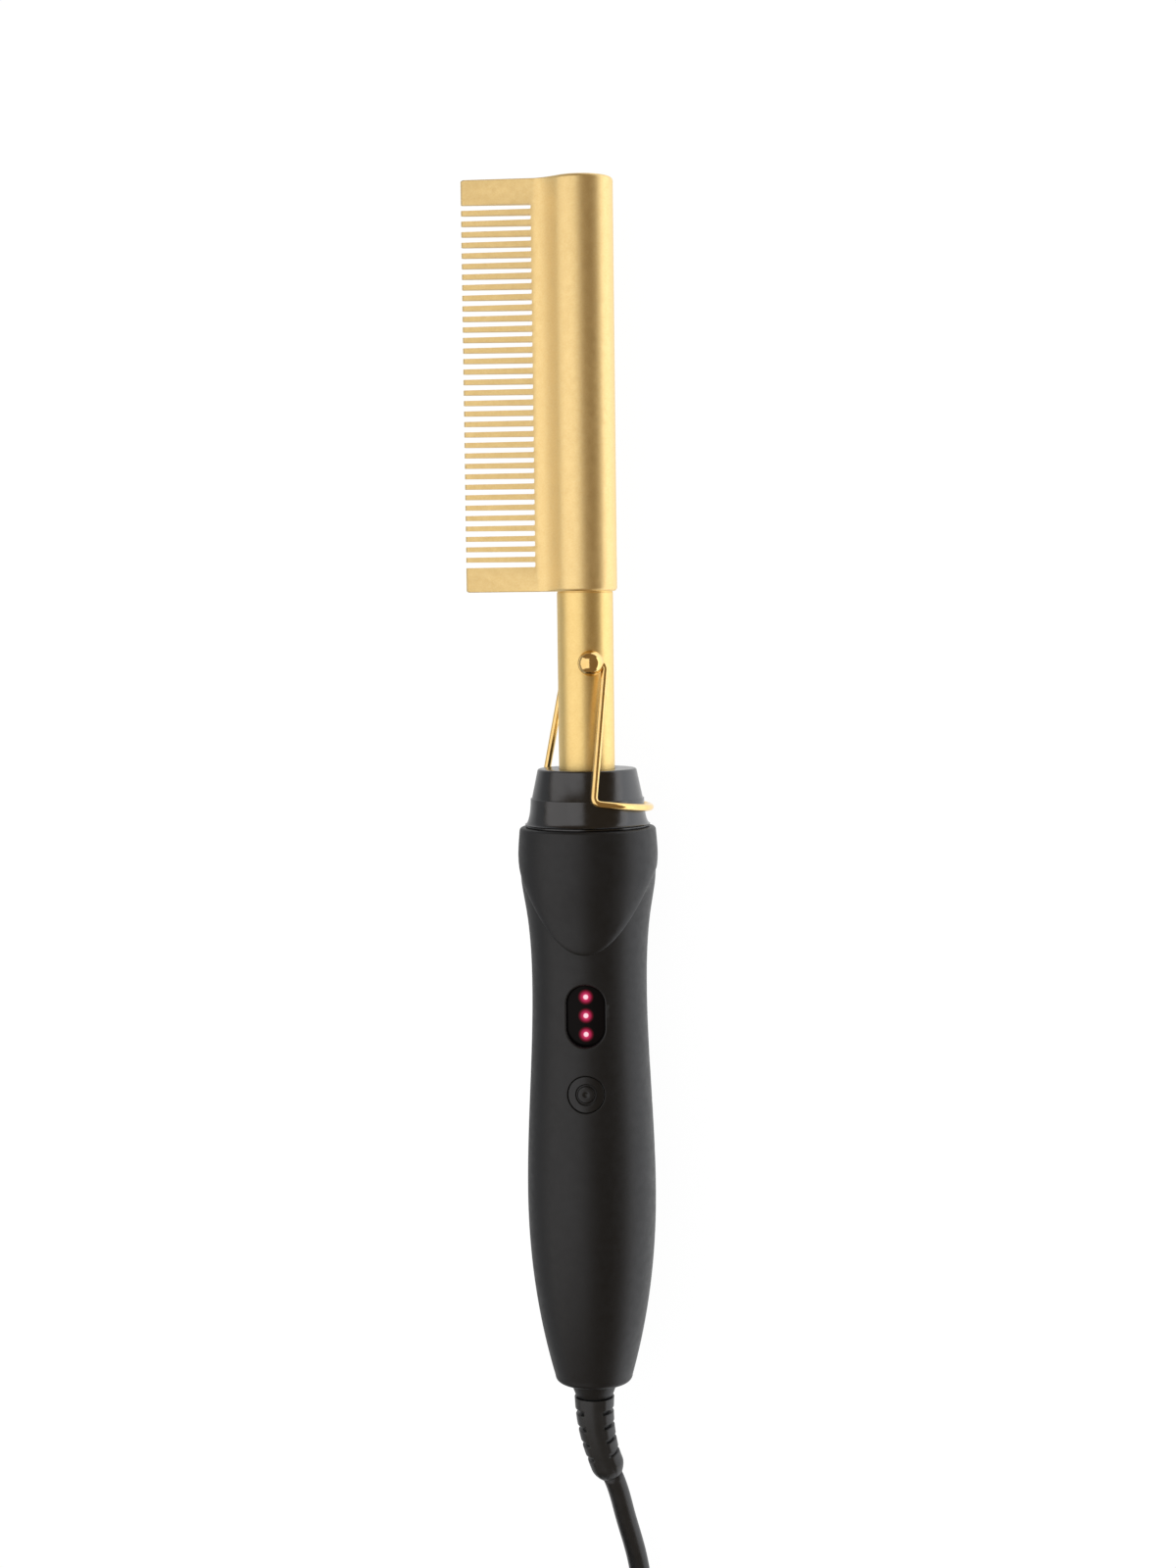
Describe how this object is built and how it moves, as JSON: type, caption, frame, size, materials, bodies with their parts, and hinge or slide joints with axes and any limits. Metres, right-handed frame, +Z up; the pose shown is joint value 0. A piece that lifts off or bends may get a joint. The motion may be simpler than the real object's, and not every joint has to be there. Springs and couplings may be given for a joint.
{
  "type": "electric hot comb",
  "caption": "Heated hair comb with a slotted metal head on a neck tube, folding wire rest, waisted black handle with lamp window and push button, and a swivelling mains cord.",
  "frame": {"origin": "centre of the tool's box on the surface that it lies on, measured without the cord", "axes": "+Y from the handle towards the comb head, +Z up out of the button side, +X towards the comb's round spine, with the teeth towards -X"},
  "size_m": [0.0719, 0.4534, 0.0369],
  "materials": {
    "gold_head": "satin gold-coloured plating with a fine grain",
    "gold_tube": "satin gold-coloured plating on steel tube",
    "gold_wire": "polished gold-coloured wire and screw heads",
    "heater_metal": "plain extruded half-rounds",
    "ceramic": "matt grey ceramic",
    "amber_film": "amber insulating film",
    "glass_bead": "glass-cased sensor",
    "small_steel": "plated steel",
    "collar_black": "smooth satin black",
    "handle_black": "soft matt black",
    "lens_red": "dark red translucent, set back in its window",
    "lamp_red": "pinkish red lamps",
    "button_black": "satin black with a sunk ring",
    "plunger_white": "moulded",
    "switch_grey": "moulded",
    "board_green": "lacquered board",
    "chip_black": "moulded",
    "capacitor_blue": "dipped",
    "lead_red": "insulated lead",
    "lead_white": "insulated lead",
    "lead_blue": "insulated lead",
    "carrier_grey": "moulded",
    "contact_brass": "plain copper alloy",
    "swivel_black": "satin black",
    "relief_black": "satin black, ribbed",
    "cord_black": "smooth black sheath",
    "tie_grey": "soft black strap",
    "plug_black": "fine-grained black",
    "pin_nickel": "nickel-plated",
    "pin_sleeve_black": "smooth black"
  },
  "bodies": {
    "handle": {"comb_head": "gold_head", "heater_shoes": "heater_metal", "heating_plates": "ceramic", "heater_sleeve": "amber_film", "temperature_sensor": "glass_bead", "neck_tube": "gold_tube", "neck_pin": "small_steel", "stand_screws": "gold_wire", "stand_nuts": "small_steel", "nose_collar": "collar_black", "front_shell": "handle_black", "rear_shell": "handle_black", "shell_screws": "small_steel", "indicator_lens": "lens_red", "indicator_lamps": "lamp_red", "push_switch": "switch_grey", "circuit_board": "board_green", "board_screws": "small_steel", "control_chip": "chip_black", "triac": "chip_black", "filter_capacitor": "capacitor_blue", "heater_leads": "lead_red", "sensor_leads": "lead_white", "mains_leads": "lead_blue", "contact_carrier": "carrier_grey", "contact_springs": "contact_brass"},
    "stand": {"stand_wire": "gold_wire"},
    "button": {"power_button": "button_black", "switch_plunger": "plunger_white"},
    "cord": {"swivel_socket": "swivel_black", "slip_rings": "contact_brass", "strain_relief": "relief_black", "power_cord": "cord_black", "cord_coil": "cord_black", "cord_tail": "cord_black", "cord_tie": "tie_grey", "plug_body": "plug_black", "plug_pins": "pin_nickel", "pin_sleeves": "pin_sleeve_black"}
  },
  "joints": [
    {"name": "stand_fold", "type": "hinge", "parent": "handle", "child": "stand", "pos_m": [0.00595, 0.0313, 0.0173], "axis": [0.225, 0, 0.9744], "range_deg": [0, 130]},
    {"name": "button_press", "type": "slide", "parent": "handle", "child": "button", "axis": [0, 0, -1], "range_m": [0, 0.0007], "stiffness_N_per_m": 600},
    {"name": "cord_swivel", "type": "hinge", "parent": "handle", "child": "cord", "pos_m": [0.00595, -0.149, 0.0173], "axis": [0, 1, 0], "continuous": true}
  ]
}
